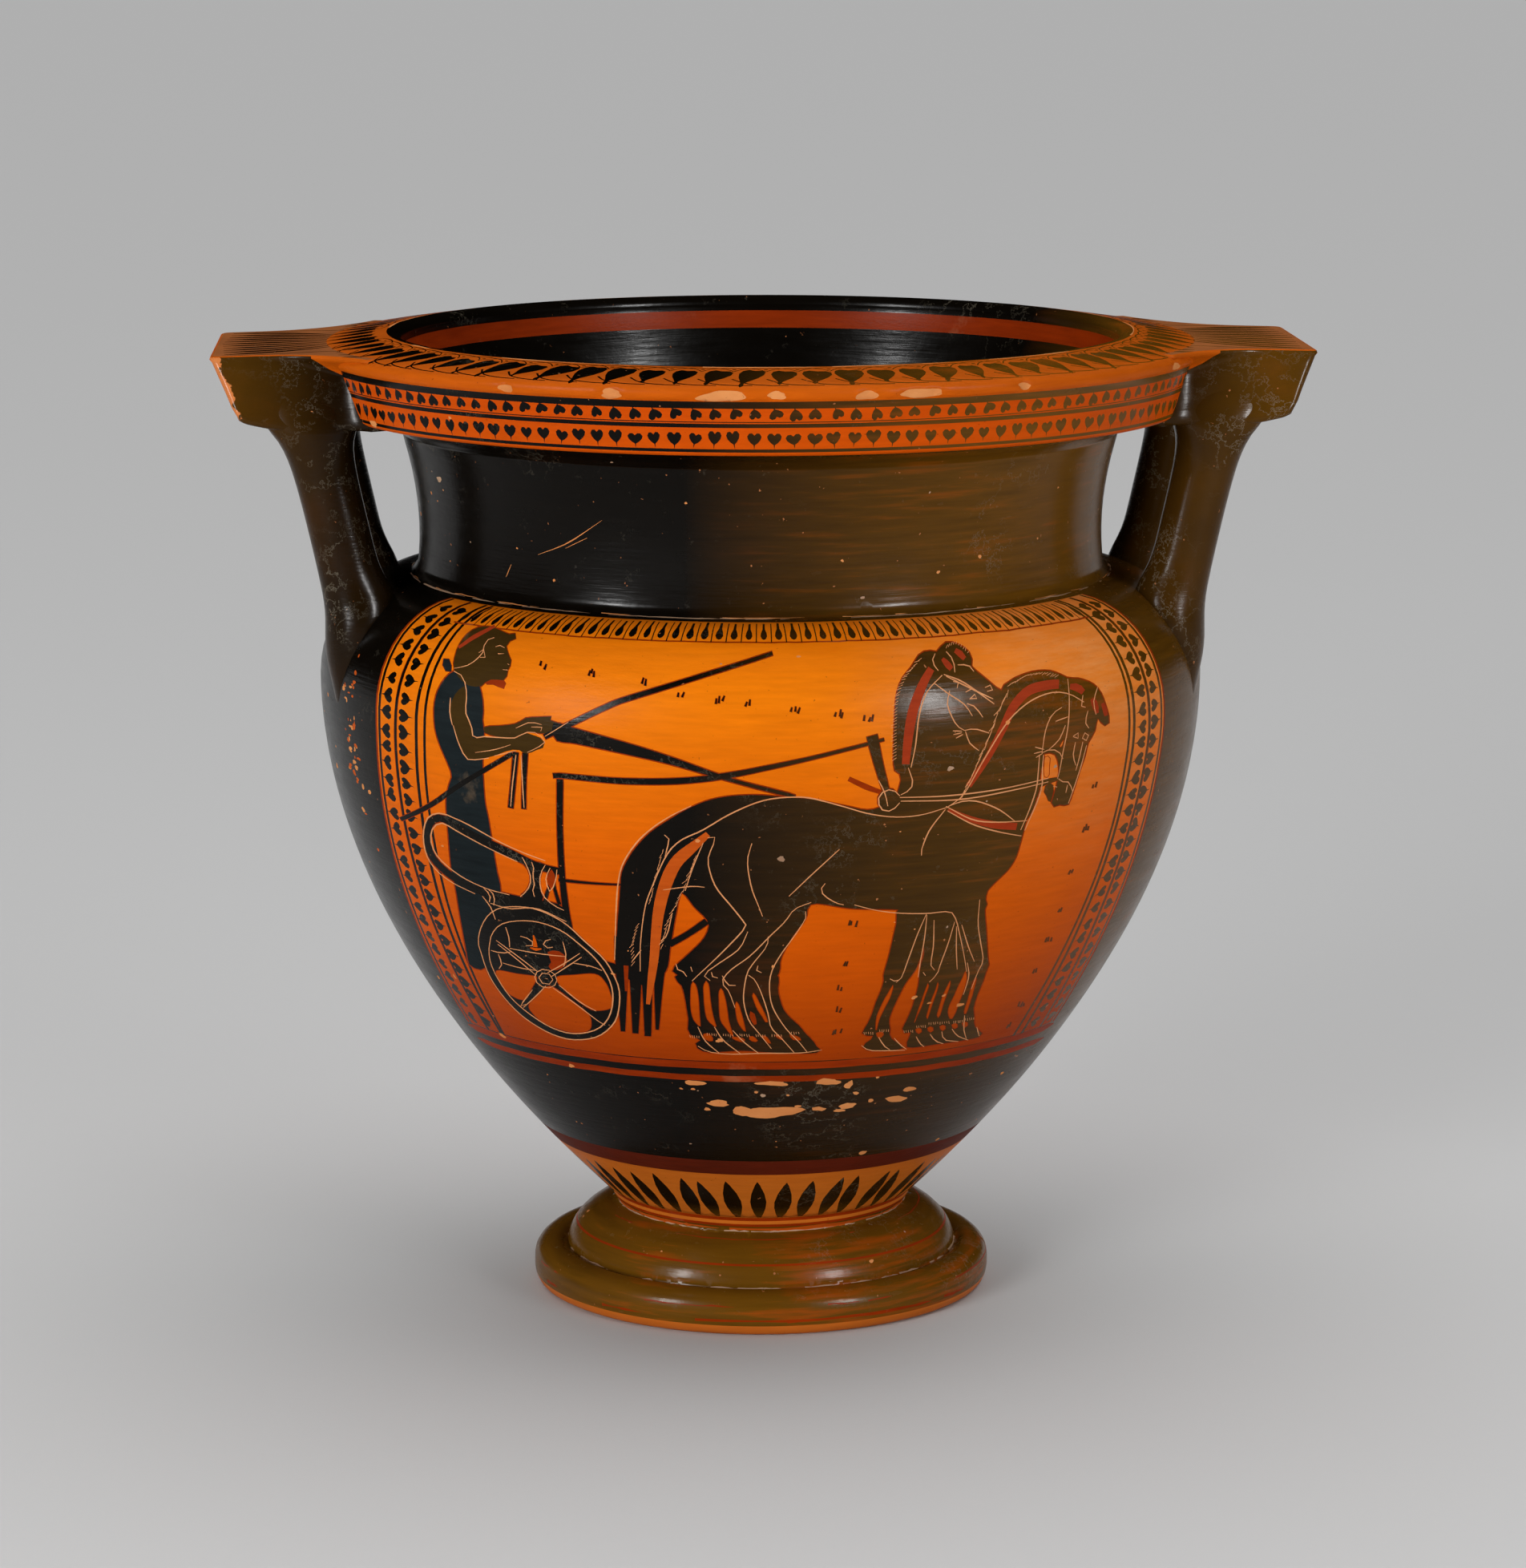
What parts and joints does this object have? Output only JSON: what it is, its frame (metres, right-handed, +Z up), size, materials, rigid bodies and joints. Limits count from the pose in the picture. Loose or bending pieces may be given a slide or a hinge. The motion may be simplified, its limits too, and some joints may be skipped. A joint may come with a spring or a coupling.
{
  "type": "column krater",
  "caption": "Wide footed wine-mixing bowl of fired clay with a flat heavy rim, a waisted neck and a plate handle on paired pillars at each side.",
  "frame": {"origin": "centre of the foot's underside, on the surface that the vessel stands on", "axes": "+Z up along the vessel's axis, +X through the handles, -Y towards the main picture panel"},
  "size_m": [0.422, 0.3446, 0.38],
  "materials": {
    "painted_clay": "glossy black slip over orange-red fired clay, worn and chipped"
  },
  "bodies": {
    "root": {"krater": "painted_clay"}
  },
  "joints": []
}
